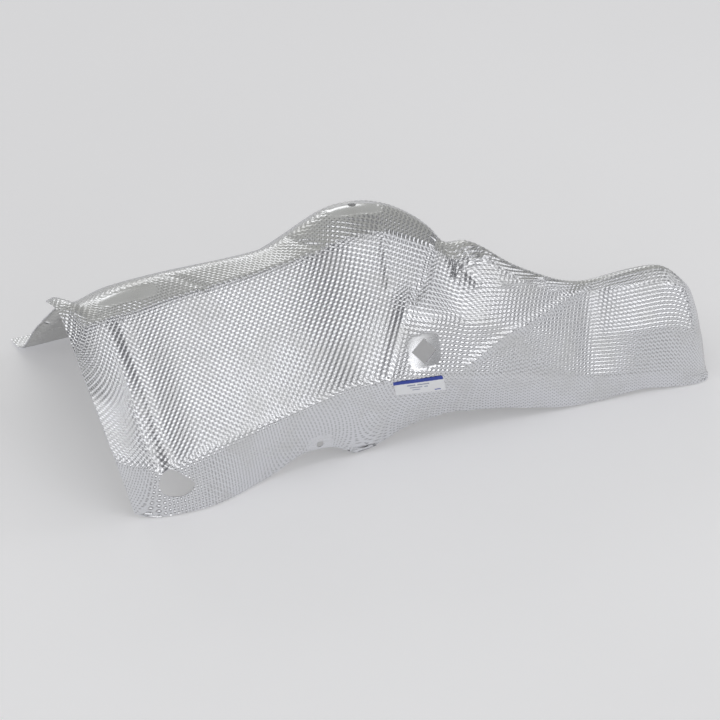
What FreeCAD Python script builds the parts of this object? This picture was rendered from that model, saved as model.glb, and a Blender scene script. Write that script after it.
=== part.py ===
import FreeCAD, Part
import math
import os
from FreeCAD import Vector

# Exhaust heat shield: a long tunnel of two nested embossed aluminium sheets that
# straddles a hot pipe. Millimetres, +X along the tunnel, +Y to the rear, +Z up.
# It stands on its two long edges. The origin is the centre of its footprint.

OUTER_SHEET = 0.8          # outer sheet, over its pressed thickness
INNER_SHEET = 0.6          # inner sheet, nested directly under the outer one
LABEL_PAPER = 0.25
EDGE_SETBACK = 5.0         # the inner sheet stops this far inside the outer sheet's cut edge
HOLE_CLEARANCE = 2.0       # its round and square holes are this much larger all round

SURFACE_DEGREE = 3
BROW = 3                   # the section point where the flat walls end and the crown starts
ROWS_BETWEEN = 6           # surface rows per step of a section
COLUMNS_BETWEEN = 2        # surface columns per step between sections

REAR_FLANGE = 22.0         # width of the flat flange along the rear edge
REAR_FLANGE_RISE = 3.0
REAR_BULGE = 7.0           # how far the rear wall bows out from flat
REAR_END = 3.0             # x of the rear wall's left end, behind the flared collar
COLLAR_SPREAD = 0.47       # the collar's columns draw together by this much on the rear wall
REAR_EDGE = [(-40, 405), (250, 405), (500, 262), (740, 190)]   # (x, y) of the rear edge

# Each section is six points, front to top: front edge, skirt bend, face, brow, crest, shoulder.
SECTIONS = [
    # flared collar at the left end: cut edge, middle, valley
    [(-3, 5, 5), (-26, 10, 88), (-37, 60, 154), (-38, 125, 196), (-38, 158, 212), (-38, 190, 203)],
    [(3, 1, 2), (-4, 5, 76), (-13, 52, 138), (-20, 120, 203), (-24, 155, 220), (-26, 190, 208)],
    [(10, -1, 0), (20, 8, 66), (16, 57, 132), (2, 122, 210), (-4, 152, 210), (-6, 180, 198)],
    # long sloping face
    [(30, -8, 0), (36, 3, 58), (40, 60, 135), (42, 118, 212), (38, 150, 222), (36, 186, 207)],
    [(80, -12, 1), (79, 1, 70), (80, 59, 146), (80, 117, 219), (80, 152, 226), (80, 187, 209)],
    [(130, 0, 0), (132, 7, 76), (132, 62, 151), (134, 117, 224), (134, 152, 227), (134, 188, 208)],
    [(185, 18, 4), (187, 12, 84), (190, 62, 158), (192, 115, 229), (192, 152, 227), (192, 188, 205)],
    [(222, 21, 22), (232, 12, 94), (232, 62, 166), (232, 114, 234), (232, 152, 230), (232, 188, 205)],
    [(262, 22, 20), (263, 10, 103), (263, 60, 174), (262, 112, 239), (262, 150, 242), (262, 188, 216)],
    # dome
    [(291, 22, 1), (292, 5, 110), (291, 56, 180), (290, 108, 247), (292, 150, 259), (294, 188, 234)],
    [(320, 23, 5), (319, 0, 108), (320, 49, 181), (320, 105, 254), (322, 148, 270), (325, 186, 247)],
    [(350, 25, 19), (345, 0, 105), (349, 39, 176), (352, 104, 255), (355, 145, 269), (358, 182, 247)],
    [(385, 25, 25), (384, 2, 99), (388, 28, 170), (395, 92, 241), (398, 135, 252), (402, 170, 233)],
    # upright face, from the notch beside the dome to the right end
    [(415, 25, 26), (415, 5, 90), (418, 26, 160), (424, 80, 224), (428, 112, 232), (430, 145, 214)],
    [(436, 24, 23), (436, 5, 84), (436, 24, 152), (436, 66, 214), (436, 90, 222), (438, 120, 200)],
    [(460, 22, 20), (460, 5, 77), (460, 20, 146), (460, 58, 219), (460, 78, 230), (460, 105, 208)],
    [(500, 17, 14), (500, 6, 66), (500, 18, 132), (500, 42, 192), (500, 58, 201), (500, 85, 178)],
    [(550, 12, 4), (550, 8, 52), (550, 20, 108), (550, 40, 158), (550, 54, 168), (550, 80, 147)],
    [(600, 10, 0), (600, 8, 39), (600, 26, 92), (600, 44, 137), (600, 56, 144), (600, 80, 124)],
    [(650, 8, 5), (650, 5, 29), (650, 15, 88), (650, 36, 140), (650, 52, 148), (650, 80, 128)],
    [(692, 2, 2), (694, 2, 20), (694, 10, 84), (694, 26, 140), (694, 42, 153), (696, 70, 132)],
    # rounded right end and its return flange
    [(720, -2, 0), (722, 0, 14), (723, 4, 72), (722, 18, 116), (720, 36, 129), (720, 62, 110)],
    [(738, 0, 0), (738, 4, 12), (737, 8, 50), (736, 22, 84), (734, 40, 106), (732, 64, 90)],
    [(744, 8, 0), (745, 24, 10), (743, 36, 44), (741, 50, 72), (738, 62, 80), (735, 80, 68)],
]

LABEL_CORNERS = [(329, 108), (395, 98), (403, 71), (336, 85)]            # (x, z) on the skirt
CORNER_OPENING = [(27, 40), (33, 55), (45, 58), (58, 49), (71, 36), (66, 27), (52, 22), (34, 27)]

DIAMOND_CENTRE = (376, 14, 132)
DIAMOND_HALF_DIAGONAL = 16.0
DIAMOND_TURN = 7.0         # degrees, in the plane of the face

FRONT_HOLE = (244, 22, 29)
DOME_HOLE = (340, 150, 266)
REAR_HOLE = (14, 314, 84)
FRONT_HOLE_RADIUS = 4.5
DOME_HOLE_RADIUS = 5.0
REAR_HOLE_RADIUS = 3.0
CUT_DEPTH = 30.0


def slopes(places, values):
    """Slope at each place of a curve that never overshoots its values."""
    steps = [(values[i + 1] - values[i]) / (places[i + 1] - places[i]) for i in range(len(places) - 1)]
    result = [steps[0]]
    for before, after in zip(steps, steps[1:]):
        result.append(0.0 if before * after <= 0 else 2 * before * after / (before + after))
    result.append(steps[-1])
    return result


def along(places, values, place):
    """Value at a place on that curve."""
    slope = slopes(places, values)
    i = max(0, min(len(places) - 2, sum(1 for p in places[1:-1] if p <= place)))
    width = places[i + 1] - places[i]
    t = (place - places[i]) / width
    start = (1 + 2 * t) * (1 - t) ** 2 * values[i] + t * (1 - t) ** 2 * width * slope[i]
    end = t * t * (3 - 2 * t) * values[i + 1] + t * t * (t - 1) * width * slope[i + 1]
    return start + end


def between(places, count):
    """The places, with each step divided into count."""
    filled = [a + (b - a) * k / count for a, b in zip(places, places[1:]) for k in range(count)]
    return filled + [places[-1]]


def rear_edge_y(x):
    return along([p[0] for p in REAR_EDGE], [p[1] for p in REAR_EDGE], x)


def full_section(points):
    """The six front points, then the rear wall and its flange down to the floor."""
    front = [Vector(*p) for p in points]
    shoulder = front[-1]
    collar_edge_x = SECTIONS[0][-1][0]
    edge_x = max(shoulder.x, REAR_END + COLLAR_SPREAD * (shoulder.x - collar_edge_x))
    edge = Vector(edge_x, rear_edge_y(edge_x), 0)
    bend = edge + Vector(0, -REAR_FLANGE, REAR_FLANGE_RISE)
    outward = Vector(0, 0.7, 0.7) * REAR_BULGE
    upper = shoulder + (bend - shoulder) * 0.35 + outward
    upper.x = edge_x
    lower = shoulder + (bend - shoulder) * 0.7 + outward * 0.6
    lower.x = edge_x
    return front + [upper, lower, bend, edge]


def smooth_curve(points, count):
    """More points on the smooth curve through the given ones, spaced by their distance."""
    places = [0.0]
    for a, b in zip(points, points[1:]):
        places.append(places[-1] + (b - a).Length)
    axes = [[getattr(p, axis) for p in points] for axis in "xyz"]
    return [Vector(*[along(places, axis, s) for axis in axes]) for s in between(places, count)]


def folded_column(points):
    """Flat walls from the front edge up to the brow, then one smooth curve over the crown to the rear."""
    walls, crown = points[:BROW + 1], points[BROW:]
    flat = [a + (b - a) * (k / ROWS_BETWEEN) for a, b in zip(walls, walls[1:]) for k in range(ROWS_BETWEEN)]
    return flat + smooth_curve(crown, ROWS_BETWEEN)


def shield_grid():
    """Columns of points over the whole outer surface, each from front edge to rear edge."""
    sections = [full_section(s) for s in SECTIONS]
    rows = [smooth_curve(list(row), COLUMNS_BETWEEN) for row in zip(*sections)]
    return [folded_column(list(column)) for column in zip(*rows)]


def offset_grid(grid, distance):
    """The grid moved out along its normals."""
    last_i = len(grid) - 1
    last_j = len(grid[0]) - 1
    moved = []
    for i, column in enumerate(grid):
        line = []
        for j, point in enumerate(column):
            across = grid[min(i + 1, last_i)][j] - grid[max(i - 1, 0)][j]
            upward = grid[i][min(j + 1, last_j)] - grid[i][max(j - 1, 0)]
            normal = across.cross(upward)
            normal.normalize()
            line.append(point + normal * distance)
        moved.append(line)
    return moved


def knots(count):
    """Knots and their multiplicities for a cubic curve with this many poles."""
    places = [k / (count - SURFACE_DEGREE) for k in range(count - SURFACE_DEGREE + 1)]
    ends = SURFACE_DEGREE + 1
    return places, [ends] + [1] * (len(places) - 2) + [ends]


def surface(grid):
    """A smooth surface drawn to the grid: it can't wave between the points."""
    u_knots, u_mults = knots(len(grid))
    v_knots, v_mults = knots(len(grid[0]))
    result = Part.BSplineSurface()
    result.buildFromPolesMultsKnots(grid, u_mults, v_mults, u_knots, v_knots,
                                    False, False, SURFACE_DEGREE, SURFACE_DEGREE)
    return result


def border(skin, part):
    """The four edges of a surface, or of the part of it inside (u0, u1, v0, v1)."""
    u0, u1, v0, v1 = part
    isos = [skin.uIso(u0), skin.vIso(v1), skin.uIso(u1), skin.vIso(v0)]
    spans = [(v0, v1), (u0, u1), (v0, v1), (u0, u1)]
    return [curve.toShape(*span) for curve, span in zip(isos, spans)]


def set_back(skin):
    """The part of a surface inside the outer sheet's cut edges and in front of its rear flange."""
    lengthwise = skin.vIso(0.5)
    crosswise = skin.uIso(0.5)
    return (lengthwise.parameterAtDistance(EDGE_SETBACK, 0),
            lengthwise.parameterAtDistance(-EDGE_SETBACK, 1),
            crosswise.parameterAtDistance(EDGE_SETBACK, 0),
            crosswise.parameterAtDistance(-EDGE_SETBACK - REAR_FLANGE, 1))


def sheet(upper, lower, part=(0, 1, 0, 1)):
    """A closed sheet between two surfaces, or between the same part of both."""
    faces = [upper.toShape(*part), lower.toShape(*part)]
    for top, bottom in zip(border(upper, part), border(lower, part)):
        faces.append(Part.makeRuledSurface(top, bottom))
    shell = Part.makeShell(faces)
    shell.sewShape()
    solid = Part.Solid(shell)
    if solid.Volume < 0:
        solid.reverse()
    return solid


def surface_normal(skin, point):
    u, v = skin.parameter(point)
    return skin.normal(u, v)


def on_surface(skin, point):
    return skin.value(*skin.parameter(point))


def drill(skin, place, radius):
    """A round cutter square to the sheet at a place on it."""
    centre = on_surface(skin, Vector(*place))
    axis = surface_normal(skin, centre)
    return Part.makeCylinder(radius, CUT_DEPTH, centre - axis * (CUT_DEPTH / 2), axis)


def diamond_cutter(skin, clearance):
    centre = on_surface(skin, Vector(*DIAMOND_CENTRE))
    axis = surface_normal(skin, centre)
    side = DIAMOND_HALF_DIAGONAL * math.sqrt(2) + 2 * clearance
    box = Part.makeBox(side, side, CUT_DEPTH, Vector(-side / 2, -side / 2, -CUT_DEPTH / 2))
    level = Vector(1, 0, 0) - axis * axis.x
    level.normalize()
    frame = FreeCAD.Matrix(level.x, axis.cross(level).x, axis.x, centre.x,
                           level.y, axis.cross(level).y, axis.y, centre.y,
                           level.z, axis.cross(level).z, axis.z, centre.z)
    box.rotate(Vector(0, 0, 0), Vector(0, 0, 1), 45 - DIAMOND_TURN)
    return box.transformGeometry(frame)


def corner_cutter():
    outline = Part.BSplineCurve()
    outline.interpolate([Vector(x, -40, z) for x, z in CORNER_OPENING], PeriodicFlag=True)
    face = Part.Face(Part.Wire(outline.toShape()))
    return face.extrude(Vector(0, 60, 0))


def label_cutter():
    corners = [Vector(x, -40, z) for x, z in LABEL_CORNERS]
    face = Part.Face(Part.makePolygon(corners + corners[:1]))
    return face.extrude(Vector(0, 80, 0))


def hole_cutters(skin, clearance=0.0):
    return [drill(skin, FRONT_HOLE, FRONT_HOLE_RADIUS + clearance),
            drill(skin, DOME_HOLE, DOME_HOLE_RADIUS + clearance),
            drill(skin, REAR_HOLE, REAR_HOLE_RADIUS + clearance),
            diamond_cutter(skin, clearance),
            corner_cutter()]


def main():
    os.makedirs("parts", exist_ok=True)
    grid = shield_grid()
    outside = surface(grid)
    middle = surface(offset_grid(grid, -OUTER_SHEET))
    inside = surface(offset_grid(grid, -OUTER_SHEET - INNER_SHEET))
    paper = surface(offset_grid(grid, LABEL_PAPER))

    parts = {
        "outer_skin": sheet(outside, middle).cut(hole_cutters(outside)),
        "inner_skin": sheet(middle, inside, set_back(outside)).cut(hole_cutters(outside, HOLE_CLEARANCE)),
        "part_label": sheet(paper, outside).common(label_cutter()),
    }

    box = parts["outer_skin"].BoundBox
    to_origin = Vector(-box.Center.x, -box.Center.y, -box.ZMin)
    for name, shape in parts.items():
        shape.translate(to_origin)
        shape.exportStep("parts/" + name + ".step")
        print(name, shape.isValid(), len(shape.Solids), round(shape.Volume), shape.BoundBox)
    print("origin moved by", to_origin)
    for place in (FRONT_HOLE, DOME_HOLE, REAR_HOLE, DIAMOND_CENTRE):
        centre = on_surface(outside, Vector(*place))
        print("hole", centre + to_origin, surface_normal(outside, centre))


main()
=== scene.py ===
import functools
import math

import bmesh
import bpy
import numpy as np
from bpy.props import FloatProperty, FloatVectorProperty, PointerProperty
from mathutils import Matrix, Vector


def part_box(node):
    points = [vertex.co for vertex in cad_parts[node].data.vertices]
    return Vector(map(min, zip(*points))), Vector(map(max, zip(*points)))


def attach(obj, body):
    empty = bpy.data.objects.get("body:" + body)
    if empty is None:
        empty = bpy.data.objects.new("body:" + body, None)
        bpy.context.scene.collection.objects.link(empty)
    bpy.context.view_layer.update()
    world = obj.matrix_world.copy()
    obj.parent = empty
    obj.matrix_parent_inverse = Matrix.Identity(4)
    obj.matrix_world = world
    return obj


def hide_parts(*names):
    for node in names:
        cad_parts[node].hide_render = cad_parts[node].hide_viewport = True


bl_info = {
    "name": "Exhaust heat shield",
    "version": (1, 0, 0),
    "blender": (4, 5, 0),
    "location": "View3D > Sidebar > Heat shield",
    "description": "Dimple-embossed aluminium tunnel shield, its inner sheet and its part label",
    "category": "Add Mesh",
}

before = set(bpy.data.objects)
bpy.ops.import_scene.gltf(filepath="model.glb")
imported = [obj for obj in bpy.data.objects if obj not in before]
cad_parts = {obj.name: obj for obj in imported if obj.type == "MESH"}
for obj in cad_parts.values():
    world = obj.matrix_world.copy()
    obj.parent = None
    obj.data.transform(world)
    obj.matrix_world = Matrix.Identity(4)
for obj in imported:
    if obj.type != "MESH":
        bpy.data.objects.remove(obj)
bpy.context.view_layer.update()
MM = 0.001

# --- the pressed shape, in millimetres, as the CAD part has it -------------------------------------

OUTER_SHEET = 0.8
INNER_SHEET = 0.6
EDGE_SETBACK = 5.0         # the inner sheet stops this far inside the outer sheet's cut edge
HOLE_CLEARANCE = 2.0       # and its holes are this much larger all round

SURFACE_DEGREE = 3
BROW = 3                   # the section point where the flat walls end and the crown starts
ROWS_BETWEEN = 6           # surface rows per step of a section
COLUMNS_BETWEEN = 2        # surface columns per step between sections

REAR_FLANGE = 22.0         # width of the flat flange along the rear edge
REAR_FLANGE_RISE = 3.0
REAR_BULGE = 7.0           # how far the rear wall bows out from flat
REAR_BOW_WAY = (0, 0.7, 0.7)
REAR_UPPER = 0.35          # the rear wall's two middle points, as shares of the way down to the flange
REAR_LOWER = 0.7
REAR_LOWER_BOW = 0.6       # the lower point bows out by this share of what the upper one does
REAR_END = 3.0             # x of the rear wall's left end, behind the flared collar
COLLAR_SPREAD = 0.47       # the collar's columns draw together by this much on the rear wall
REAR_EDGE = [(-40, 405), (250, 405), (500, 262), (740, 190)]   # (x, y) of the rear edge

# Each section is six points, front to top: front edge, skirt bend, face, brow, crest, shoulder.
SECTIONS = [
    # flared collar at the left end: cut edge, middle, valley
    [(-3, 5, 5), (-26, 10, 88), (-37, 60, 154), (-38, 125, 196), (-38, 158, 212), (-38, 190, 203)],
    [(3, 1, 2), (-4, 5, 76), (-13, 52, 138), (-20, 120, 203), (-24, 155, 220), (-26, 190, 208)],
    [(10, -1, 0), (20, 8, 66), (16, 57, 132), (2, 122, 210), (-4, 152, 210), (-6, 180, 198)],
    # long sloping face
    [(30, -8, 0), (36, 3, 58), (40, 60, 135), (42, 118, 212), (38, 150, 222), (36, 186, 207)],
    [(80, -12, 1), (79, 1, 70), (80, 59, 146), (80, 117, 219), (80, 152, 226), (80, 187, 209)],
    [(130, 0, 0), (132, 7, 76), (132, 62, 151), (134, 117, 224), (134, 152, 227), (134, 188, 208)],
    [(185, 18, 4), (187, 12, 84), (190, 62, 158), (192, 115, 229), (192, 152, 227), (192, 188, 205)],
    [(222, 21, 22), (232, 12, 94), (232, 62, 166), (232, 114, 234), (232, 152, 230), (232, 188, 205)],
    [(262, 22, 20), (263, 10, 103), (263, 60, 174), (262, 112, 239), (262, 150, 242), (262, 188, 216)],
    # dome
    [(291, 22, 1), (292, 5, 110), (291, 56, 180), (290, 108, 247), (292, 150, 259), (294, 188, 234)],
    [(320, 23, 5), (319, 0, 108), (320, 49, 181), (320, 105, 254), (322, 148, 270), (325, 186, 247)],
    [(350, 25, 19), (345, 0, 105), (349, 39, 176), (352, 104, 255), (355, 145, 269), (358, 182, 247)],
    [(385, 25, 25), (384, 2, 99), (388, 28, 170), (395, 92, 241), (398, 135, 252), (402, 170, 233)],
    # upright face, from the notch beside the dome to the right end
    [(415, 25, 26), (415, 5, 90), (418, 26, 160), (424, 80, 224), (428, 112, 232), (430, 145, 214)],
    [(436, 24, 23), (436, 5, 84), (436, 24, 152), (436, 66, 214), (436, 90, 222), (438, 120, 200)],
    [(460, 22, 20), (460, 5, 77), (460, 20, 146), (460, 58, 219), (460, 78, 230), (460, 105, 208)],
    [(500, 17, 14), (500, 6, 66), (500, 18, 132), (500, 42, 192), (500, 58, 201), (500, 85, 178)],
    [(550, 12, 4), (550, 8, 52), (550, 20, 108), (550, 40, 158), (550, 54, 168), (550, 80, 147)],
    [(600, 10, 0), (600, 8, 39), (600, 26, 92), (600, 44, 137), (600, 56, 144), (600, 80, 124)],
    [(650, 8, 5), (650, 5, 29), (650, 15, 88), (650, 36, 140), (650, 52, 148), (650, 80, 128)],
    [(692, 2, 2), (694, 2, 20), (694, 10, 84), (694, 26, 140), (694, 42, 153), (696, 70, 132)],
    # rounded right end and its return flange
    [(720, -2, 0), (722, 0, 14), (723, 4, 72), (722, 18, 116), (720, 36, 129), (720, 62, 110)],
    [(738, 0, 0), (738, 4, 12), (737, 8, 50), (736, 22, 84), (734, 40, 106), (732, 64, 90)],
    [(744, 8, 0), (745, 24, 10), (743, 36, 44), (741, 50, 72), (738, 62, 80), (735, 80, 68)],
]

LABEL_CORNERS = [(329, 108), (395, 98), (403, 71), (336, 85)]            # (x, z) on the skirt
CORNER_OPENING = [(27, 40), (33, 55), (45, 58), (58, 49), (71, 36), (66, 27), (52, 22), (34, 27)]
DIAMOND_CENTRE = (376, 14, 132)
DIAMOND_HALF_DIAGONAL = 16.0
DIAMOND_TURN = 7.0         # degrees, in the plane of the face
DIAMOND_SIDES = 4
ROUND_HOLES = [((244, 22, 29), 4.5), ((340, 150, 266), 5.0), ((14, 314, 84), 3.0)]   # centre, radius
HOLE_REACH = 45.0          # nothing of a hole lies further than this from its centre
FRONT_SIDE = 60.0          # the corner opening is cut through what has less y than this

# --- the emboss and the pressed details --------------------------------------------------------

POINTS_PER_DIMPLE = 4      # mesh points per pitch, so that crests and pits both fall on a point
LATTICE_RINGS = 2          # squares added round the outside, to be trimmed back to the edge
GRID_ALONG = 865           # places worked out along the shield and across it
GRID_ACROSS = 721
JUST_UNDER_ONE = 1 - 1e-12
LONGEST_STEP = 3           # grid steps moved at most in one round of a search
BOX_MISMATCH = 2.0         # the most that this shape's box may differ from the CAD part's
DIMPLES_FADE = 4.0         # the dimples die away over this far round a flat
FLAT_SQUARENESS = 4        # 2 would make the flats ellipses, more makes them boxier

# x and the angle in degrees from the tunnel's line to the rows of dimples: the embossed sheet lay
# askew on the left and level on the right when it was pressed.
ROW_ANGLES = [(-40, -47), (60, -46), (180, -43), (255, -37), (300, -26), (345, -13), (385, -2),
              (440, 9), (510, 19), (560, 12), (610, 5), (745, 9)]

# Coined flats: centre, half length, half width, turn in degrees, how deep they are pressed in.
FLATS = [
    ((376, 14, 132), 20, 20, 0, 0.4),       # round the diamond
    ((244, 22, 29), 12, 10, 0, 0.0),        # fixing tab on the front edge
    ((341, 147, 269), 27, 13, -8, 1.2),     # washer seat on the dome
    ((45, 144, 222), 28, 8, -8, 0.8),       # stiffening recess on the crown's left end
    ((14, 314, 84), 8, 8, 0, 0.0),          # rear fixing
]

# Pressed lines: the points they run through, half width, height (negative is pressed in).
CREASES = [
    # left end and long face
    ([(4, 128, 210), (13, 100, 185), (17, 73, 151), (17, 42, 112), (21, 19, 82), (32, 6, 61)], 6, -1.5),
    ([(24, 112, 205), (34, 60, 140), (36, 28, 96), (42, 6, 70)], 6, 1.8),
    ([(360, 104, 253), (355, 83, 230), (350, 61, 203)], 5, 1.2),
    ([(369, 44, 186), (353, 30, 161), (341, 18, 137), (328, 5, 114)], 12, 3.2),
    # crown
    ([(100, 159, 225), (119, 140, 226), (136, 120, 224)], 5, -2.0),
    ([(259, 155, 239), (266, 134, 243), (279, 116, 245)], 5, -2.0),
    # between the dome and the right end
    ([(426, 94, 228), (410, 72, 216), (393, 55, 199), (375, 45, 187)], 6, -2.0),
    ([(434, 89, 223), (437, 71, 217), (444, 58, 207), (459, 43, 189)], 5, 1.5),
    ([(471, 57, 216), (454, 57, 213), (443, 58, 208), (435, 56, 199)], 4, 1.5),
    ([(486, 39, 184), (515, 41, 179), (546, 50, 169)], 4, 1.5),
    ([(434, 9, 101), (462, 14, 116), (488, 17, 127), (535, 27, 135), (600, 49, 142)], 6, 2.0),
    ([(609, 42, 136), (603, 32, 111), (597, 22, 83), (594, 11, 50)], 16, -2.5),
    ([(716, 27, 129), (720, 16, 108), (721, 5, 74), (725, 2, 31), (725, 0, 11)], 6, 1.5),
]


UNDERLAP = 3.0             # the outer sheet's underside is made this far in past the inner sheet's edge

LABEL_SIZE = (66.0, 25.0)
LABEL_PAPER = 0.25
LABEL_CORNER = 1.5
LABEL_POINTS = (56, 22)
LABEL_ROUNDS = 40
LABEL_SHOWS = 0.35         # share of the dimples' depth that shows through the paper
LABEL_LIFT = 0.4           # the paper rides on the crests, this share of their depth up

WELD = 0.02 * MM
SHARP_FROM = 62.0          # degrees: cut edges stay sharp, dimples are smooth

# --- finishes, with sizes in millimetres -----------------------------------------------------------

DIMPLE_SHADE_FROM = 0.35         # the painted shade starts this far up a crest, and as far down a pit
SMUDGE_SIZE = 45.0
SMUDGE_SPREAD = (0.45, 0.72)       # of the cloudy noise: where the smudges start and are full
SMUDGE_STRENGTH = 0.5
ROLLING_LINE = 1.0         # real ones are a few hundredths wide, and this is as fine as shows
ROLLING_STRETCH = (0.06, 1.0, 1.0)
ROLLING_TURN = 0.1         # radians from the shield's length
ROLLING_DEPTH = 0.05
ALUMINIUM_ROUGHNESS = (0.17, 0.27)
LINE_ROUGHNESS = 0.08      # and as much more on the rolling lines
PAPER_FIBRE = 0.6
PAPER_FIBRE_DEPTH = 0.03
PAPER_ROUGHNESS = (0.42, 0.58)
PAPER_IOR = 1.5
BOARD_MOTTLE = 0.97        # how dark the rolled paint goes
BOARD_ROUGHNESS = 0.9
BOARD_PATCHES = 3.0        # per metre

# The label's printed bars, as shares of its length and of its height from the bottom.
INKED_BARS = [((0.0, 1.0), (0.80, 1.01)), ((0.78, 0.90), (0.10, 0.17))]
FAINT_BARS = [((0.26, 0.42), (0.60, 0.69)), ((0.46, 0.70), (0.60, 0.69)), ((0.30, 0.55), (0.42, 0.50)),
              ((0.59, 0.66), (0.42, 0.50)), ((0.34, 0.50), (0.26, 0.33))]
BAR_OVERLAP = 0.001        # so that the band reaches the paper's very edge

# --- light and camera, in metres ----------------------------------------------------------------

CAMERA_ANGLES = (-23.0, 35.0)      # azimuth and elevation in degrees
CAMERA_DISTANCE = 40.0
SENSOR = 36.0
VIEW_WIDTH = 0.864         # how much the lens sees across, at the shield
AIM = (0.0153, 0.0068)     # to the right and upward of the frame's origin
FLOOR_REACH = 45.0         # half of the floor's side
FLOOR_LEVEL = -0.0013      # just under the lowest pits
FLOOR_GLOW = 0.32          # light of its own, so that the floor stays pale
AIM_HEIGHT = (0.0, 0.0, 0.12)      # what the softboxes face
ROOM_STRENGTH = 1.0
ROOM_FADE = (0.2, 0.8)     # from dim to bright, by how much of a way lies along BRIGHT_SIDE
BRIGHT_SIDE = (0.0, 0.83, 0.55)
ROOM_COLOURS = ("#b6b6b2", "#6c6c6f")    # behind and above, in front and below
# Each softbox: name, the way to it, distance, width and height, brightness.
SOFTBOXES = [
    ("front_softbox", (0.25, -0.78, 0.60), 3.5, (5.0, 2.2), 0.64),
    ("low_softbox", (0.15, -1.0, 0.28), 3.4, (4.0, 0.7), 1.8),
    ("top_softbox", (-0.10, -0.30, 1.0), 3.5, (2.2, 0.6), 2.0),
    ("left_softbox", (-1.0, -0.1, 0.5), 3.5, (1.6, 2.4), 1.3),
    ("right_softbox", (1.0, -0.2, 0.45), 3.5, (1.2, 2.4), 1.3),
    ("back_softbox", (0.1, 1.0, 0.5), 4.0, (3.0, 1.2), 1.2),
]
FLAG_COLOUR = "#9a9a9c"
FLAG_BOX = ((-1.6, -1.5, 0.0), (2.0, -1.5, 0.36))


def smooth_slopes(places, values):
    """Slope at each place of a curve that never overshoots its values."""
    steps = np.diff(values, axis=0) / np.diff(places)[:, None]
    before, after = steps[:-1], steps[1:]
    level = before * after <= 0
    middle = np.where(level, 0.0, 2 * before * after / np.where(level, 1.0, before + after))
    return np.vstack([steps[:1], middle, steps[-1:]])


def curve_at(places, values, wanted):
    """Values at the wanted places on that curve."""
    places = np.asarray(places, float)
    values = np.asarray(values, float).reshape(len(places), -1)
    wanted = np.atleast_1d(wanted)
    slope = smooth_slopes(places, values)
    i = np.clip(np.searchsorted(places, wanted, side="right") - 1, 0, len(places) - 2)
    width = (places[i + 1] - places[i])[:, None]
    t = (wanted - places[i])[:, None] / width
    start = (1 + 2 * t) * (1 - t) ** 2 * values[i] + t * (1 - t) ** 2 * width * slope[i]
    end = t * t * (3 - 2 * t) * values[i + 1] + t * t * (t - 1) * width * slope[i + 1]
    return start + end


def full_section(points):
    """The six front points, then the rear wall and its flange down to the floor."""
    front = [np.array(point, float) for point in points]
    shoulder = front[-1]
    collar_edge_x = SECTIONS[0][-1][0]
    edge_x = max(shoulder[0], REAR_END + COLLAR_SPREAD * (shoulder[0] - collar_edge_x))
    edge_xs, edge_ys = zip(*REAR_EDGE)
    edge = np.array([edge_x, curve_at(edge_xs, edge_ys, edge_x)[0, 0], 0])
    bend = edge + np.array([0, -REAR_FLANGE, REAR_FLANGE_RISE])
    outward = np.array(REAR_BOW_WAY) * REAR_BULGE
    upper = shoulder + (bend - shoulder) * REAR_UPPER + outward
    lower = shoulder + (bend - shoulder) * REAR_LOWER + outward * REAR_LOWER_BOW
    upper[0] = lower[0] = edge_x
    return np.array(front + [upper, lower, bend, edge])


def smooth_curve(points, count):
    """More points on the smooth curve through the given ones, spaced by their distance."""
    lengths = np.linalg.norm(np.diff(points, axis=0), axis=1)
    places = np.concatenate([[0.0], np.cumsum(lengths)])
    steps = np.arange((len(places) - 1) * count + 1) / count
    return curve_at(places, points, np.interp(steps, np.arange(len(places)), places))


def folded_column(points):
    """Flat walls from the front edge up to the brow, then one smooth curve over the crown to the rear."""
    walls, crown = points[:BROW + 1], points[BROW:]
    share = (np.arange(ROWS_BETWEEN) / ROWS_BETWEEN)[:, None]
    flat = [a + (b - a) * share for a, b in zip(walls, walls[1:])]
    return np.vstack(flat + [smooth_curve(crown, ROWS_BETWEEN)])


def weights(count, places):
    """How much each of count control points pulls on a cubic curve at places from 0 to 1."""
    ends = [0.0] * SURFACE_DEGREE, [1.0] * SURFACE_DEGREE
    knots = np.concatenate([ends[0], np.linspace(0, 1, count - SURFACE_DEGREE + 1), ends[1]])
    at = np.clip(places, 0, JUST_UNDER_ONE)[:, None]
    pull = ((at >= knots[:-1]) & (at < knots[1:])).astype(float)
    for degree in range(1, SURFACE_DEGREE + 1):
        rising = knots[degree:-1] - knots[:-degree - 1]
        falling = knots[degree + 1:] - knots[1:-degree]
        up = np.where(rising > 0, (at - knots[:-degree - 1]) / np.where(rising > 0, rising, 1), 0)
        down = np.where(falling > 0, (knots[degree + 1:] - at) / np.where(falling > 0, falling, 1), 0)
        pull = up * pull[:, :-1] + down * pull[:, 1:]
    return pull


def unit(vectors):
    return vectors / np.linalg.norm(vectors, axis=-1, keepdims=True)


def look_up(grid, spots):
    """The grid's value and its two slopes at spots in grid steps. Past the border it runs straight on."""
    cell = np.clip(np.floor(spots).astype(int), 0, np.array(grid.shape[:2]) - 2)
    s, t = (spots - cell).T[..., None]
    i, j = cell.T
    near, far, near_up, far_up = grid[i, j], grid[i + 1, j], grid[i, j + 1], grid[i + 1, j + 1]
    value = (near * (1 - s) + far * s) * (1 - t) + (near_up * (1 - s) + far_up * s) * t
    along = (far - near) * (1 - t) + (far_up - near_up) * t
    across = (near_up - near) * (1 - s) + (far_up - far) * s
    return value, along, across


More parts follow.
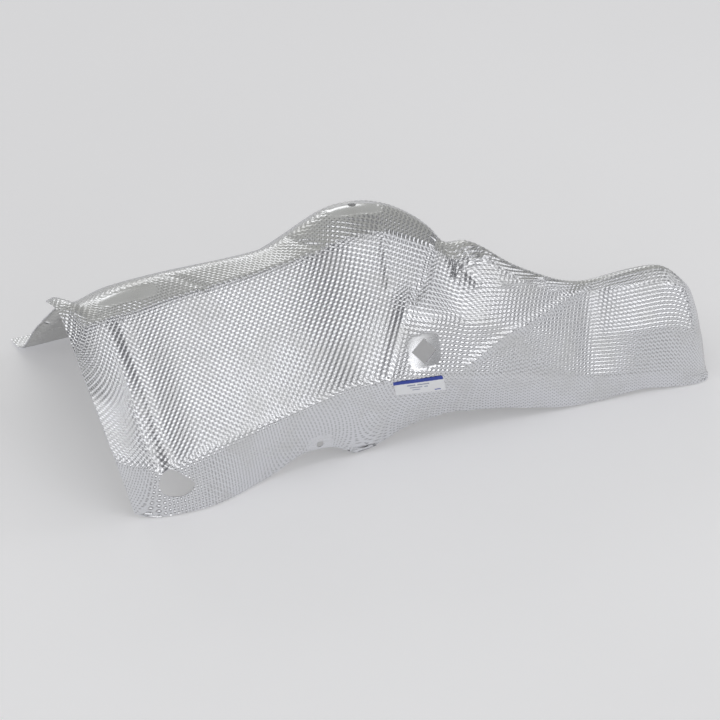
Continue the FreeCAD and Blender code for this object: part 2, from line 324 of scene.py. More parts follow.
def find_spots(grid, wanted, start, rounds=6):
    """The spots where the grid's two values are the wanted ones."""
    spots = np.array(start, float)
    for _ in range(rounds):
        value, along, across = look_up(grid, spots)
        miss = wanted - value
        spread = along[:, 0] * across[:, 1] - along[:, 1] * across[:, 0]
        step_along = (miss[:, 0] * across[:, 1] - miss[:, 1] * across[:, 0]) / spread
        step_across = (along[:, 0] * miss[:, 1] - along[:, 1] * miss[:, 0]) / spread
        spots += np.clip(np.stack([step_along, step_across], 1), -LONGEST_STEP, LONGEST_STEP)
    return spots


def level_field(along, across):
    """The field whose steps along and across the grid come closest to the given ones."""
    pull = np.zeros((along.shape[0] + 1, along.shape[1]))
    pull[:-1] -= along
    pull[1:] += along
    pull[:, :-1] -= across
    pull[:, 1:] += across
    mirrored = np.block([[pull, pull[:, ::-1]], [pull[::-1], pull[::-1, ::-1]]])
    waves = [2 - 2 * np.cos(2 * np.pi * np.arange(n) / n) for n in mirrored.shape]
    stiffness = waves[0][:, None] + waves[1][None, :]
    stiffness[0, 0] = 1
    return np.fft.ifft2(np.fft.fft2(mirrored) / stiffness).real[:pull.shape[0], :pull.shape[1]]


class Shield:
    """The outer face as a fine grid of places and normals in millimetres, with the rows of dimples on it."""

    def __init__(self, pitch):
        sections = np.array([full_section(points) for points in SECTIONS])
        rows = [smooth_curve(sections[:, k], COLUMNS_BETWEEN) for k in range(sections.shape[1])]
        control = np.array([folded_column(column) for column in np.stack(rows, 1)])
        along = weights(control.shape[0], np.linspace(0, 1, GRID_ALONG))
        across = weights(control.shape[1], np.linspace(0, 1, GRID_ACROSS))
        self.place = np.einsum("ui,ijk,vj->uvk", along, control, across, optimize=True)
        lengthwise = unit(np.gradient(self.place, axis=0))
        self.normal = unit(np.cross(lengthwise, np.gradient(self.place, axis=1)))
        self.last = np.array(self.place.shape[:2]) - 1
        self.dimples = self.rows_of_dimples(lengthwise, pitch)
        self.origin = self.origin_from_frame()

    def rows_of_dimples(self, lengthwise, pitch):
        """Two counts of dimples, along the rows and across them, at every grid point."""
        xs, angles = zip(*ROW_ANGLES)
        x = self.place[..., 0]
        turn = np.radians(curve_at(xs, angles, np.clip(x, xs[0], xs[-1]).ravel()).reshape(x.shape))[..., None]
        upslope = np.cross(self.normal, lengthwise)
        row = np.cos(turn) * lengthwise + np.sin(turn) * upslope
        counts = []
        for way in (row, np.cross(self.normal, row)):
            steps = []
            for axis in (0, 1):
                a, b = np.moveaxis(self.place, axis, 0), np.moveaxis(way, axis, 0)
                step = ((a[1:] - a[:-1]) * (b[1:] + b[:-1]) / 2).sum(-1) / pitch
                steps.append(np.moveaxis(step, 0, axis))
            counts.append(level_field(*steps))
        return np.stack(counts, -1)

    def origin_from_frame(self):
        """What to add to get the frame's own coordinates: both boxes have to agree."""
        low, high = (np.array(corner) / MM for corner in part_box("outer_skin"))
        own_low, own_high = self.place.min((0, 1)), self.place.max((0, 1))
        if np.abs((high - low) - (own_high - own_low)).max() > BOX_MISMATCH:
            raise RuntimeError(f"the pressed shape isn't the frame's: {high - low} and {own_high - own_low}")
        return (low + high - own_low - own_high) / 2

    def nearest(self, place):
        """The spot on the grid nearest to a place."""
        closest = ((self.place - place) ** 2).sum(-1).argmin()
        return np.array(np.unravel_index(closest, self.place.shape[:2]), float)

    def inner_part(self):
        """The lowest and highest spot of the inner sheet."""
        lengths = []
        for line in (self.place[:, GRID_ACROSS // 2], self.place[GRID_ALONG // 2]):
            steps = np.linalg.norm(np.diff(line, axis=0), axis=1)
            lengths.append(np.concatenate([[0.0], np.cumsum(steps)]))
        along, across = lengths
        rear = EDGE_SETBACK + REAR_FLANGE
        spots = [np.interp([EDGE_SETBACK, along[-1] - EDGE_SETBACK], along, np.arange(len(along))),
                 np.interp([EDGE_SETBACK, across[-1] - rear], across, np.arange(len(across)))]
        return np.array(spots).T

    def flat_at(self, place, turn=0.0):
        """A flat drawing plane on the shield at a place: its centre, and its level and upward axes."""
        spot = self.nearest(place)[None]
        centre = look_up(self.place, spot)[0][0]
        normal = unit(look_up(self.normal, spot)[0][0])
        level = unit(np.array([1.0, 0, 0]) - normal * normal[0])
        upward = np.cross(normal, level)
        angle = math.radians(turn)
        return centre, np.array([math.cos(angle) * level + math.sin(angle) * upward,
                                 math.cos(angle) * upward - math.sin(angle) * level])


@functools.lru_cache(maxsize=1)
def pressed_shield(pitch):
    return Shield(pitch)


# --- holes ------------------------------------------------------------------------------------------

def round_outline(radius, count=48):
    turn = np.linspace(0, 2 * np.pi, count, endpoint=False)
    return radius * np.stack([np.cos(turn), np.sin(turn)], 1)


def diamond_outline(clearance):
    """A square on its point. More clearance moves its sides out, and its points by root two as much."""
    reach = DIAMOND_HALF_DIAGONAL + clearance * math.sqrt(2)
    return round_outline(reach, DIAMOND_SIDES)


def corner_outline(count=12):
    """The smooth closed curve through the corner opening's points."""
    points = np.array(CORNER_OPENING, float)
    before, after, beyond = (np.roll(points, -k, axis=0) for k in (-1, 1, 2))
    t = (np.arange(count) / count)[:, None, None]
    start = (2 * t ** 3 - 3 * t ** 2 + 1) * points + (t ** 3 - 2 * t ** 2 + t) * (after - before) / 2
    end = (3 * t ** 2 - 2 * t ** 3) * after + (t ** 3 - t ** 2) * (beyond - points) / 2
    return (start + end).transpose(1, 0, 2).reshape(-1, 2)


def holes(shield, clearance):
    """Each hole's drawing plane and its outline there."""
    made = []
    for place, radius in ROUND_HOLES:
        made.append((*shield.flat_at(place), round_outline(radius + clearance)))
    made.append((*shield.flat_at(DIAMOND_CENTRE, -DIAMOND_TURN), diamond_outline(clearance)))
    middle = np.mean(CORNER_OPENING, axis=0)
    front = np.array([[1.0, 0, 0], [0, 0, 1.0]])
    centre = look_up(shield.place, shield.nearest(np.array([middle[0], 0, middle[1]]))[None])[0][0]
    made.append((centre, front, corner_outline() - centre[[0, 2]]))
    return made


def is_inside(outline, points):
    """Which points lie inside a closed outline."""
    a, b = outline, np.roll(outline, -1, axis=0)
    x, y = points[:, :1], points[:, 1:]
    crosses = (a[:, 1] > y) != (b[:, 1] > y)
    rise = np.where(a[:, 1] == b[:, 1], 1.0, b[:, 1] - a[:, 1])
    at = a[:, 0] + (y - a[:, 1]) / rise * (b[:, 0] - a[:, 0])
    return (crosses & (x < at)).sum(1) % 2 == 1


def onto_outline(outline, points):
    """The nearest point of a closed outline to each point."""
    along = np.roll(outline, -1, axis=0) - outline
    share = ((points[:, None] - outline) * along).sum(2) / (along ** 2).sum(1)
    foot = outline + np.clip(share, 0, 1)[..., None] * along
    best = ((foot - points[:, None]) ** 2).sum(2).argmin(1)
    return foot[np.arange(len(points)), best]


# --- sheets -----------------------------------------------------------------------------------------

def squares_of(number):
    """The four corners of every square of a grid of numbered points."""
    near, far = number[:-1], number[1:]
    return np.stack([near[:, :-1], far[:, :-1], far[:, 1:], near[:, 1:]], -1).reshape(-1, 4)


def lattice(shield, part):
    """Points a quarter of a dimple apart over part of the shield, and the squares between them."""
    counts = shield.dimples * POINTS_PER_DIMPLE
    margin = LATTICE_RINGS + 1
    lowest = np.floor(counts.min((0, 1))).astype(int) - margin
    marks = np.rint(counts).astype(int) - lowest
    size = marks.max((0, 1)) + margin + 1
    start = np.full(size, -1)
    start[marks[..., 0], marks[..., 1]] = np.arange(marks[..., 0].size).reshape(marks.shape[:2])
    for _ in range(LATTICE_RINGS):
        for shift, axis in ((1, 0), (-1, 0), (1, 1), (-1, 1)):
            moved = np.roll(start, shift, axis)
            start = np.where(start < 0, moved, start)
    known = np.argwhere(start >= 0)
    first = np.stack(np.unravel_index(start[start >= 0], shield.place.shape[:2]), 1)
    spots = find_spots(counts, known + lowest, first)
    number = np.full(size, -1)
    number[known[:, 0], known[:, 1]] = np.arange(len(known))
    squares = squares_of(number)
    squares = squares[(squares >= 0).all(1)]
    within = ((spots >= part[0]) & (spots <= part[1])).all(1)
    squares = squares[within[squares].any(1)]
    spots = np.clip(spots, part[0], part[1])
    for corner in np.array([[part[i][0], part[j][1]] for i in (0, 1) for j in (0, 1)]):
        used = np.unique(squares)
        spots[used[((spots[used] - corner) ** 2).sum(1).argmin()]] = corner
    return spots, squares


def cut_hole(shield, spots, squares, hole):
    """Takes a hole's squares away and brings the rest up to its outline."""
    centre, axes, outline = hole
    places = look_up(shield.place, spots)[0]
    near = np.linalg.norm(places - centre, axis=1) < HOLE_REACH
    close = np.flatnonzero(near & (places[:, 1] < centre[1] + FRONT_SIDE))
    flat = (places[close] - centre) @ axes.T
    gone = np.zeros(len(spots), bool)
    gone[close] = is_inside(outline, flat)
    squares = squares[~gone[squares].all(1)]
    rim = np.intersect1d(np.flatnonzero(gone), squares)
    wanted = onto_outline(outline, (places[rim] - centre) @ axes.T)
    if len(outline) == DIAMOND_SIDES:
        for corner in outline:
            wanted[((wanted - corner) ** 2).sum(1).argmin()] = corner
    spots = spots.copy()
    spots[rim] = find_spots((shield.place - centre) @ axes.T, wanted, spots[rim])
    return spots, squares


def near_flat(shield, places, flat):
    """1 in a coined flat, falling to 0 where the dimples are whole again."""
    place, half_length, half_width, turn, _ = flat
    centre, axes = shield.flat_at(place, turn)
    apart = places - centre
    level, upward = (apart @ axes.T).T
    size = np.array([half_length, half_width])
    power = FLAT_SQUARENESS
    reach = ((np.abs(level) / half_length) ** power + (np.abs(upward) / half_width) ** power) ** (1 / power)
    outside = (reach - 1) * size.min() / DIMPLES_FADE
    deep = np.linalg.norm(apart, axis=1) < 2 * size.max() + DIMPLES_FADE
    fade = np.clip(1 - outside, 0, 1) * deep
    return fade * fade * (3 - 2 * fade)


def line_distance(places, points):
    """How far each place is from a line through several points."""
    best = np.full(len(places), np.inf)
    for a, b in zip(np.array(points[:-1], float), np.array(points[1:], float)):
        share = np.clip((places - a) @ (b - a) / ((b - a) @ (b - a)), 0, 1)
        best = np.minimum(best, np.linalg.norm(places - a - share[:, None] * (b - a), axis=1))
    return best


def relief(shield, spots, depth):
    """How far the pressing stands out from the smooth shield, and how much painted shade its colour gets
    there:
    1 on each crest and in each pit, 0 halfway between them and in the flats."""
    places = look_up(shield.place, spots)[0]
    counts = look_up(shield.dimples, spots)[0]
    wave = np.cos(2 * np.pi * counts).mean(1)
    whole = np.ones(len(spots))
    height = np.zeros(len(spots))
    for flat in FLATS:
        fade = near_flat(shield, places, flat)
        whole *= 1 - fade
        height -= fade * flat[-1]
    for points, half_width, rise in CREASES:
        height += rise * np.exp(-(line_distance(places, points) / half_width) ** 2)
    # the second value is painted shade, darkest on each crest and in each pit
    return height + whole * wave * depth / 2, np.abs(wave) * whole


def pressed_mesh(name, shield, spots, squares, height, upper, lower, dimple_shade):
    """A sheet between two offsets from the shield. Each is (distance, which squares to make there)."""
    places = look_up(shield.place, spots)[0] + shield.origin
    normals = unit(look_up(shield.normal, spots)[0])
    count = len(spots)
    points = np.vstack([places + normals * (height + upper[0])[:, None],
                        places + normals * (height + lower[0])[:, None]])
    starts, ends = squares.ravel(), np.roll(squares, -1, axis=1).ravel()
    inner = np.isin(starts * count + ends, ends * count + starts)
    a, b = starts[~inner], ends[~inner]
    rim = np.stack([a, a + count, b + count, b], 1)
    faces = np.vstack([squares[upper[1]], squares[lower[1]][:, ::-1] + count, rim])
    used, renumbered = np.unique(faces, return_inverse=True)
    mesh = bpy.data.meshes.new(name)
    mesh.from_pydata((points[used] * MM).tolist(), [], renumbered.reshape(-1, 4).tolist())
    # painted shade: darkens the aluminium's colour on the crests and in the pits
    layer = mesh.attributes.new("dimple_shade", "FLOAT", "POINT")
    layer.data.foreach_set("value", np.tile(dimple_shade, 2)[used].astype(np.float32))
    return mesh, used % count


def finish_piece(name, mesh, node, material):
    """Welds the mesh, shades it and puts it in the node's place."""
    work = bmesh.new()
    work.from_mesh(mesh)
    bmesh.ops.remove_doubles(work, verts=work.verts, dist=WELD)
    bmesh.ops.dissolve_degenerate(work, dist=WELD, edges=work.edges)
    work.to_mesh(mesh)
    work.free()
    mesh.validate()
    mesh.shade_smooth()
    mesh.set_sharp_from_angle(angle=math.radians(SHARP_FROM))
    mesh.materials.append(material)
    piece = bpy.data.objects.new(name, mesh)
    bpy.context.scene.collection.objects.link(piece)
    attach(piece, "root")
    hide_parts(node)


def outer_sheet(shield, depth, material):
    """The outer sheet: its whole face, its cut edges, and its underside where the inner sheet stops short."""
    part = np.array([[0, 0], shield.last], float)
    spots, squares = lattice(shield, part)
    for hole in holes(shield, 0.0):
        spots, squares = cut_hole(shield, spots, squares, hole)
    height, dimple_shade = relief(shield, spots, depth)
    low, high = shield.inner_part() + np.array([[UNDERLAP], [-UNDERLAP]])
    bare = ((spots < low) | (spots > high)).any(1)
    places = look_up(shield.place, spots)[0]
    for centre, _, outline in holes(shield, HOLE_CLEARANCE + UNDERLAP):
        bare |= np.linalg.norm(places - centre, axis=1) < np.linalg.norm(outline, axis=1).max()
    upper = (0.0, slice(None))
    lower = (-OUTER_SHEET, bare[squares].any(1))
    mesh, _ = pressed_mesh("outer_sheet", shield, spots, squares, height, upper, lower, dimple_shade)
    finish_piece("outer_sheet", mesh, "outer_skin", material)


def inner_sheet(shield, depth, material):
    """The inner sheet nests under the outer one, so only its underside and its cut edges are made."""
    spots, squares = lattice(shield, shield.inner_part())
    for hole in holes(shield, HOLE_CLEARANCE):
        spots, squares = cut_hole(shield, spots, squares, hole)
    height, dimple_shade = relief(shield, spots, depth)
    upper = (-OUTER_SHEET, slice(0, 0))
    lower = (-OUTER_SHEET - INNER_SHEET, slice(None))
    mesh, _ = pressed_mesh("inner_sheet", shield, spots, squares, height, upper, lower, dimple_shade)
    finish_piece("inner_sheet", mesh, "inner_skin", material)


def part_label(shield, depth, material):
    """A paper label that bridges the dimples and shows them faintly."""
    left_top, right_top, right_low, left_low = np.array(LABEL_CORNERS, float)
    length, width = LABEL_SIZE
    level, upward = np.meshgrid(np.linspace(0, length, LABEL_POINTS[0]),
                                np.linspace(0, width, LABEL_POINTS[1]), indexing="ij")
    drawn = np.stack([level.ravel(), upward.ravel()], 1)
    outline = rounded_rectangle(length, width, LABEL_CORNER)
    outside = ~is_inside(outline, drawn)
    drawn[outside] = onto_outline(outline, drawn[outside])
    s, t = (drawn / LABEL_SIZE).T[..., None]
    wanted = (left_low * (1 - s) + right_low * s) * (1 - t) + (left_top * (1 - s) + right_top * s) * t
    middle = wanted.mean(0)
    start = shield.nearest(np.array([middle[0], 0, middle[1]]))
    spots = find_spots(shield.place[..., [0, 2]], wanted, np.tile(start, (len(wanted), 1)), LABEL_ROUNDS)
    number = np.arange(len(wanted)).reshape(LABEL_POINTS)
    squares = squares_of(number)
    height, dimple_shade = relief(shield, spots, depth * LABEL_SHOWS)
    upper = (depth * LABEL_LIFT + LABEL_PAPER, slice(None))
    lower = (depth * LABEL_LIFT, slice(None))
    mesh, kept = pressed_mesh("part_label", shield, spots, squares, height, upper, lower, dimple_shade)
    for name, values in (("label_across", s[:, 0]), ("label_up", t[:, 0])):
        layer = mesh.attributes.new(name, "FLOAT", "POINT")
        layer.data.foreach_set("value", values[kept].astype(np.float32))
    finish_piece("part_label_paper", mesh, "part_label", material)


def rounded_rectangle(length, width, radius, count=6):
    """A rectangle from the origin with round corners."""
    turn = np.linspace(0, np.pi / 2, count)
    arc = radius * np.stack([np.cos(turn), np.sin(turn)], 1)
    quarter = np.array([[0.0, 1.0], [-1.0, 0.0]])
    points = []
    for centre in ((length - radius, width - radius), (radius, width - radius),
                   (radius, radius), (length - radius, radius)):
        points.append(arc + centre)
        arc = arc @ quarter
    return np.vstack(points)


# --- materials --------------------------------------------------------------------------------------

def linear(code):
    """An sRGB hex colour as linear values."""
    values = [int(code[i:i + 2], 16) / 255 for i in (1, 3, 5)]
    return [v / 12.92 if v <= 0.04045 else ((v + 0.055) / 1.055) ** 2.4 for v in values]


def add_node(tree, kind, settings, links=()):
    """Adds a node, sets its properties and inputs, and links its inputs to (input, source) pairs."""
    node = tree.nodes.new(kind)
    for name, value in settings.items():
        if isinstance(name, int) or name in node.inputs:
            node.inputs[name].default_value = value
        else:
            setattr(node, name, value)
    for name, source in links:
        tree.links.new(source, node.inputs[name])
    return node


def new_material(name):
    material = bpy.data.materials.new(name)
    material.use_nodes = True
    material.node_tree.nodes.clear()
    return material, material.node_tree


def rolled_aluminium(name, plain, dimple_shade, smudge):
    """Soft aluminium sheet, cold rolled bright and then pressed between dimpled rollers: a mirror made
    soft by fine rolling lines, with painted shade darkening its colour on the crests and in the pits,
    and with faint cloudy patches from oil and handling."""
    material, tree = new_material(name)
    where = add_node(tree, "ShaderNodeTexCoord", {})
    # painted shade: the colour goes to the darker tone on the crests and in the pits
    shade_attribute = add_node(tree, "ShaderNodeAttribute", {"attribute_name": "dimple_shade"})
    shade_share = add_node(tree, "ShaderNodeMapRange",
                    {"From Min": DIMPLE_SHADE_FROM, "From Max": 1.0, "interpolation_type": "SMOOTHSTEP"},
                    [("Value", shade_attribute.outputs["Fac"])])
    tone = add_node(tree, "ShaderNodeMix", {"data_type": "RGBA", 6: [*plain, 1], 7: [*dimple_shade, 1]},
                    [(0, shade_share.outputs["Result"])])
    cloud = add_node(tree, "ShaderNodeTexNoise",
                     {"Scale": 1 / (SMUDGE_SIZE * MM), "Detail": 4.0, "Roughness": 0.55},
                     [("Vector", where.outputs["Object"])])
    smudge_from, smudge_full = SMUDGE_SPREAD
    patch = add_node(tree, "ShaderNodeMapRange",
                     {"From Min": smudge_from, "From Max": smudge_full, "To Max": SMUDGE_STRENGTH},
                     [("Value", cloud.outputs["Fac"])])
    colour = add_node(tree, "ShaderNodeMix", {"data_type": "RGBA", 7: [*smudge, 1]},
                      [(0, patch.outputs["Result"]), (6, tone.outputs[2])])
    # Rolling lines are a few hundredths of a millimetre wide, drawn here at 1 mm so that they show.
    stretch = add_node(tree, "ShaderNodeMapping",
                       {"Scale": [*ROLLING_STRETCH], "Rotation": [0.0, 0.0, ROLLING_TURN]},
                       [("Vector", where.outputs["Object"])])
    lines = add_node(tree, "ShaderNodeTexNoise", {"Scale": 1 / (ROLLING_LINE * MM), "Detail": 2.0},
                     [("Vector", stretch.outputs["Vector"])])
    smoothest, dullest = ALUMINIUM_ROUGHNESS
    dull = add_node(tree, "ShaderNodeMapRange",
                    {"From Min": 0.3, "From Max": 0.7, "To Min": smoothest, "To Max": dullest},
                    [("Value", cloud.outputs["Fac"])])
    grain = add_node(tree, "ShaderNodeMath", {"operation": "MULTIPLY_ADD", 1: LINE_ROUGHNESS},
                     [(0, lines.outputs["Fac"]), (2, dull.outputs["Result"])])
    bump = add_node(tree, "ShaderNodeBump", {"Strength": 0.25, "Distance": ROLLING_DEPTH * MM},
                    [("Height", lines.outputs["Fac"])])
    shader = add_node(tree, "ShaderNodeBsdfPrincipled", {"Metallic": 1.0},
                      [("Base Color", colour.outputs[2]), ("Roughness", grain.outputs[0]),
                       ("Normal", bump.outputs["Normal"])])
    add_node(tree, "ShaderNodeOutputMaterial", {}, [("Surface", shader.outputs["BSDF"])])
    return material


def band(tree, source, low, high):
    """1 where the source lies between two values."""
    above = add_node(tree, "ShaderNodeMath", {"operation": "GREATER_THAN", 1: low}, [(0, source)])
    below = add_node(tree, "ShaderNodeMath", {"operation": "LESS_THAN", 1: high}, [(0, source)])
    return add_node(tree, "ShaderNodeMath", {"operation": "MULTIPLY"},
                    [(0, above.outputs[0]), (1, below.outputs[0])]).outputs[0]


def printed_paper(name, paper, ink, faint_ink):
    """Matt white label paper, offset printed: a solid band of ink along the top, short faint bars for
    lines of print and one darker bar low on the right. The bars say nothing."""
    material, tree = new_material(name)
    across = add_node(tree, "ShaderNodeAttribute", {"attribute_name": "label_across"}).outputs["Fac"]
    up = add_node(tree, "ShaderNodeAttribute", {"attribute_name": "label_up"}).outputs["Fac"]
    fibre = add_node(tree, "ShaderNodeTexNoise", {"Scale": 1 / (PAPER_FIBRE * MM), "Detail": 3.0})
    colour = None
    bars = [(*bar, ink) for bar in INKED_BARS] + [(*bar, faint_ink) for bar in FAINT_BARS]
    for (left, right), (low, high), tone in bars:
        inked = add_node(tree, "ShaderNodeMath", {"operation": "MULTIPLY"},
                         [(0, band(tree, across, left - BAR_OVERLAP, right)), (1, band(tree, up, low, high))])
        mixed = add_node(tree, "ShaderNodeMix", {"data_type": "RGBA", 6: [*paper, 1], 7: [*tone, 1]},
                         [(0, inked.outputs[0])])
        if colour is not None:
            tree.links.new(colour, mixed.inputs[6])
        colour = mixed.outputs[2]
    bump = add_node(tree, "ShaderNodeBump", {"Strength": 0.2, "Distance": PAPER_FIBRE_DEPTH * MM},
                    [("Height", fibre.outputs["Fac"])])
    smoothest, dullest = PAPER_ROUGHNESS
    dull = add_node(tree, "ShaderNodeMapRange", {"To Min": smoothest, "To Max": dullest},
                    [("Value", fibre.outputs["Fac"])])
    shader = add_node(tree, "ShaderNodeBsdfPrincipled", {"Metallic": 0.0, "IOR": PAPER_IOR},
                      [("Base Color", colour), ("Roughness", dull.outputs["Result"]),
                       ("Normal", bump.outputs["Normal"])])
    add_node(tree, "ShaderNodeOutputMaterial", {}, [("Surface", shader.outputs["BSDF"])])
    return material


def painted_board(name, colour, glow):
    """Board with matt emulsion rolled on, even enough to read as one tone."""
    material, tree = new_material(name)
    where = add_node(tree, "ShaderNodeTexCoord", {})
    mottle = add_node(tree, "ShaderNodeTexNoise", {"Scale": BOARD_PATCHES, "Detail": 3.0},
                      [("Vector", where.outputs["Object"])])
    darker = [BOARD_MOTTLE * value for value in colour]
    shade = add_node(tree, "ShaderNodeMix", {"data_type": "RGBA", 6: [*colour, 1], 7: [*darker, 1]},
                     [(0, mottle.outputs["Fac"])])
    shader = add_node(tree, "ShaderNodeBsdfPrincipled",
                      {"Roughness": BOARD_ROUGHNESS, "Emission Strength": glow},
                      [("Base Color", shade.outputs[2]), ("Emission Color", shade.outputs[2])])
    add_node(tree, "ShaderNodeOutputMaterial", {}, [("Surface", shader.outputs["BSDF"])])
    return material


# --- stage ------------------------------------------------------------------------------------------

def room(bright, dim):
    """Soft light from behind and above, dimmer in front, so that the dimples have something to mirror."""
    world = bpy.data.worlds.new("studio_room")
    world.use_nodes = True
    tree = world.node_tree
    tree.nodes.clear()
    way = add_node(tree, "ShaderNodeTexCoord", {})
    side = add_node(tree, "ShaderNodeVectorMath", {"operation": "DOT_PRODUCT", 1: BRIGHT_SIDE},
                    [(0, way.outputs["Generated"])])
    dim_to, bright_from = ROOM_FADE
    share = add_node(tree, "ShaderNodeMapRange",
                     {"From Min": dim_to, "From Max": bright_from, "interpolation_type": "SMOOTHSTEP"},
                     [("Value", side.outputs["Value"])])
    colour = add_node(tree, "ShaderNodeMix", {"data_type": "RGBA", 6: [*dim, 1], 7: [*bright, 1]},
                      [(0, share.outputs["Result"])])
    light = add_node(tree, "ShaderNodeBackground", {"Strength": ROOM_STRENGTH},
                     [("Color", colour.outputs[2])])
    add_node(tree, "ShaderNodeOutputWorld", {}, [("Surface", light.outputs["Background"])])
    bpy.context.scene.world = world


def softbox(name, way, distance, size, brightness):
    """A soft panel that faces the shield. Its brightness is how bright it looks in a mirror."""
    light = bpy.data.lights.new(name, "AREA")
    light.shape = "RECTANGLE"
    light.size, light.size_y = size
    light.energy = brightness * math.pi * size[0] * size[1]
    panel = bpy.data.objects.new(name, light)
    panel.location = Vector(AIM_HEIGHT) + Vector(way).normalized() * distance
    panel.rotation_euler = Vector(way).to_track_quat("Z", "Y").to_euler()
    panel.visible_camera = False
    bpy.context.scene.collection.objects.link(panel)


def camera():
    """A long lens from far off, above the shield's left front."""
    azimuth, elevation = map(math.radians, CAMERA_ANGLES)
    toward = Vector((math.sin(azimuth) * math.cos(elevation), -math.cos(azimuth) * math.cos(elevation),
                     math.sin(elevation)))
    right = Vector((math.cos(azimuth), math.sin(azimuth), 0))
    upward = toward.cross(right)
    lens = bpy.data.cameras.new("camera")
    lens.sensor_width = SENSOR
    lens.lens = SENSOR * CAMERA_DISTANCE / VIEW_WIDTH
    lens.clip_end = 100.0
    eye = bpy.data.objects.new("camera", lens)
    eye.location = right * AIM[0] + upward * AIM[1] + toward * CAMERA_DISTANCE
    eye.rotation_euler = toward.to_track_quat("Z", "Y").to_euler()
    bpy.context.scene.collection.objects.link(eye)
    bpy.context.scene.camera = eye


def board(name, corners, material):
    """A flat board of the stage."""
    mesh = bpy.data.meshes.new(name)
    mesh.from_pydata(corners, [], [(0, 1, 2, 3)])
    mesh.materials.append(material)
    plane = bpy.data.objects.new(name, mesh)
    bpy.context.scene.collection.objects.link(plane)
    return plane


def floor(colour):
    sides = ((-1, -1), (1, -1), (1, 1), (-1, 1))
    corners = [(x * FLOOR_REACH, y * FLOOR_REACH, FLOOR_LEVEL) for x, y in sides]
    board("floor", corners, painted_board("pale_painted_board", colour, FLOOR_GLOW))


def flag(colour):
    """A low grey board in front, hidden from the camera, that the upright walls mirror."""
    (left, front, low), (right, _, high) = FLAG_BOX
    corners = [(left, front, low), (right, front, low), (right, front, high), (left, front, high)]
    plane = board("flag", corners, painted_board("grey_painted_board", colour, 0.0))
    plane.visible_camera = False


# --- add-on -----------------------------------------------------------------------------------------

class HeatShieldSizes(bpy.types.PropertyGroup):
    """Sizes a user would change."""
    pitch: FloatProperty(name="Dimple pitch", default=4.9, min=3.0, max=12.0,
                         description="Distance between dimples along a row, in millimetres")
    depth: FloatProperty(name="Dimple depth", default=1.2, min=0.0, max=3.0,
                         description="From the crest of a dimple to its pit, in millimetres")


class HeatShieldColours(bpy.types.PropertyGroup):
    """Colours a user would change."""
    aluminium: FloatVectorProperty(name="Aluminium", description="Rolled aluminium between crests and pits",
                                   subtype="COLOR", default=linear("#e6e7ea"))
    # the painted shade laid on the crests and in the pits
    dimple_shade: FloatVectorProperty(name="Dimple shade", description="Aluminium on the crests and in the pits",
                                subtype="COLOR", default=linear("#9d9ea1"))
    smudge: FloatVectorProperty(name="Smudges", description="Oily patches on the aluminium",
                                subtype="COLOR", default=linear("#d3d3d1"))
    paper: FloatVectorProperty(name="Label paper", description="Unprinted label paper",
                               subtype="COLOR", default=linear("#f3f4f6"))
    ink: FloatVectorProperty(name="Label ink", description="The label's printed band",
                             subtype="COLOR", default=linear("#3348a8"))
    faint_ink: FloatVectorProperty(name="Label print", description="The label's faint lines of print",
                                   subtype="COLOR", default=linear("#a9adc0"))
    floor: FloatVectorProperty(name="Floor", description="Painted board under the shield",
                               subtype="COLOR", default=linear("#e6e6e8"))


class HEATSHIELD_OT_outer_sheet(bpy.types.Operator):
    """Press the outer sheet"""
    bl_idname = "heatshield.outer_sheet"
    bl_label = "Outer sheet"

    def execute(self, context):
        sizes, colours = context.scene.heatshield_sizes, context.scene.heatshield_colours
        material = rolled_aluminium("bright_rolled_aluminium", colours.aluminium, colours.dimple_shade,
                                    colours.smudge)
        outer_sheet(pressed_shield(sizes.pitch), sizes.depth, material)
        return {"FINISHED"}


class HEATSHIELD_OT_inner_sheet(bpy.types.Operator):
    """Press the inner sheet"""
    bl_idname = "heatshield.inner_sheet"
    bl_label = "Inner sheet"

    def execute(self, context):
        sizes, colours = context.scene.heatshield_sizes, context.scene.heatshield_colours
        material = rolled_aluminium("inner_rolled_aluminium", colours.smudge, colours.dimple_shade, colours.smudge)
        inner_sheet(pressed_shield(sizes.pitch), sizes.depth, material)
        return {"FINISHED"}


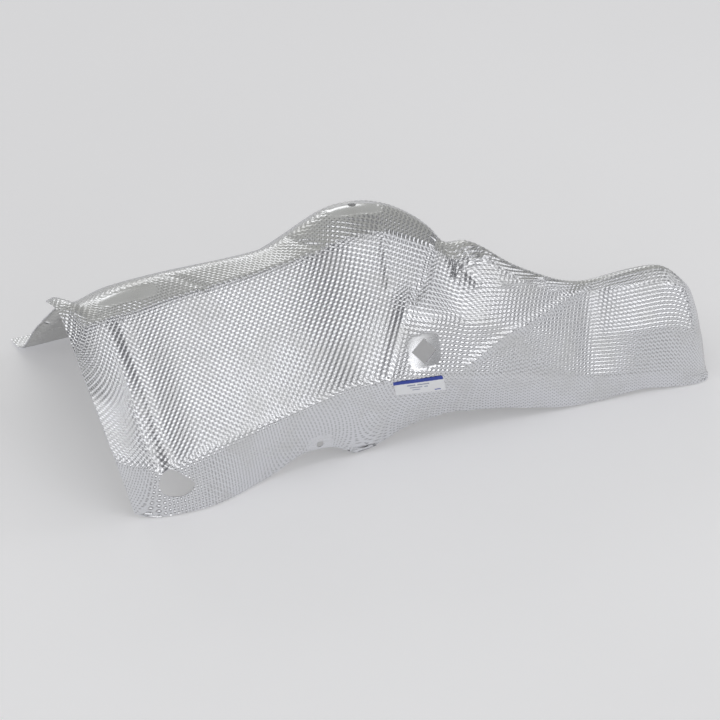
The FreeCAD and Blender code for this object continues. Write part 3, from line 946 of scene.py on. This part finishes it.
class HEATSHIELD_OT_part_label(bpy.types.Operator):
    """Stick the part label on the front"""
    bl_idname = "heatshield.part_label"
    bl_label = "Part label"

    def execute(self, context):
        sizes, colours = context.scene.heatshield_sizes, context.scene.heatshield_colours
        material = printed_paper("printed_label_paper", colours.paper, colours.ink, colours.faint_ink)
        part_label(pressed_shield(sizes.pitch), sizes.depth, material)
        return {"FINISHED"}


class HEATSHIELD_OT_stage(bpy.types.Operator):
    """Set out the floor, the lights and the camera"""
    bl_idname = "heatshield.stage"
    bl_label = "Stage"

    def execute(self, context):
        floor(context.scene.heatshield_colours.floor)
        flag(linear(FLAG_COLOUR))
        room(*(linear(code) for code in ROOM_COLOURS))
        for panel in SOFTBOXES:
            softbox(*panel)
        camera()
        context.scene.view_settings.view_transform = "Standard"
        return {"FINISHED"}


class HEATSHIELD_PT_panel(bpy.types.Panel):
    bl_label = "Heat shield"
    bl_idname = "HEATSHIELD_PT_panel"
    bl_space_type = "VIEW_3D"
    bl_region_type = "UI"
    bl_category = "Heat shield"

    def draw(self, context):
        for group in (context.scene.heatshield_sizes, context.scene.heatshield_colours):
            for name in group.__annotations__:
                self.layout.prop(group, name)
        for operator in OPERATORS:
            self.layout.operator(operator.bl_idname)


OPERATORS = (HEATSHIELD_OT_outer_sheet, HEATSHIELD_OT_inner_sheet, HEATSHIELD_OT_part_label,
             HEATSHIELD_OT_stage)
CLASSES = (HeatShieldSizes, HeatShieldColours, *OPERATORS, HEATSHIELD_PT_panel)


def register():
    for item in CLASSES:
        bpy.utils.register_class(item)
    bpy.types.Scene.heatshield_sizes = PointerProperty(type=HeatShieldSizes)
    bpy.types.Scene.heatshield_colours = PointerProperty(type=HeatShieldColours)


def unregister():
    del bpy.types.Scene.heatshield_sizes
    del bpy.types.Scene.heatshield_colours
    for item in reversed(CLASSES):
        bpy.utils.unregister_class(item)


def main():
    register()
    bpy.ops.heatshield.outer_sheet()
    bpy.ops.heatshield.inner_sheet()
    bpy.ops.heatshield.part_label()
    bpy.ops.heatshield.stage()


if __name__ == "__main__":
    main()
